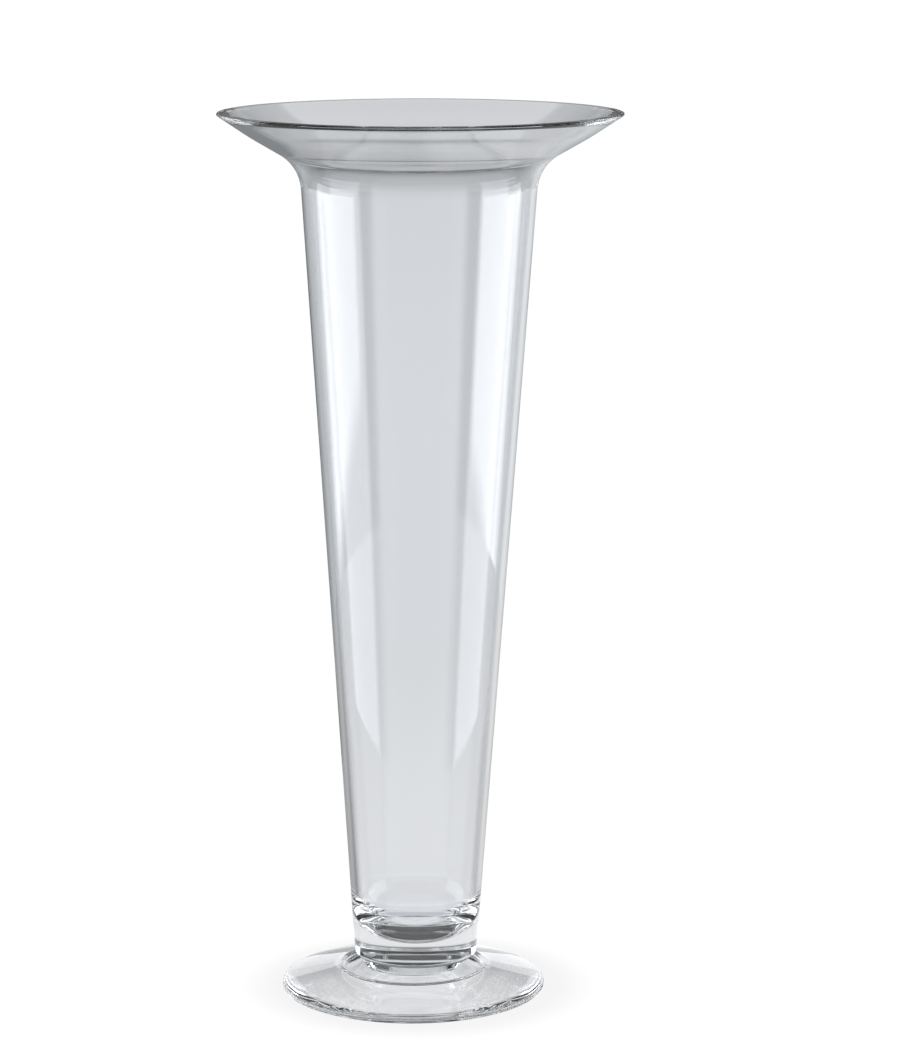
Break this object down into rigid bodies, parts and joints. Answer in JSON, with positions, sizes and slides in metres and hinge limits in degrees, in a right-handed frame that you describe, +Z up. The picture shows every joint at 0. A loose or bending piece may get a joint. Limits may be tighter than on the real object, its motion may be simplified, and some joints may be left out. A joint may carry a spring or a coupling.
{
  "type": "footed trumpet vase",
  "caption": "Tall clear glass flower vase: a tapering bowl with a wide flared mouth, joined by a short stem button to a round spread foot.",
  "frame": {"origin": "centre of the foot, on the surface that the vase stands on", "axes": "+Z up along the vase's axis of revolution; X and Y are free, because the vase is round"},
  "size_m": [0.2286, 0.2286, 0.508],
  "materials": {
    "clear_glass": "polished clear soda-lime glass with a faint cool grey tint and slight hand-made waviness"
  },
  "bodies": {
    "root": {"trumpet_bowl": "clear_glass", "stem_button": "clear_glass", "foot": "clear_glass"}
  },
  "joints": []
}
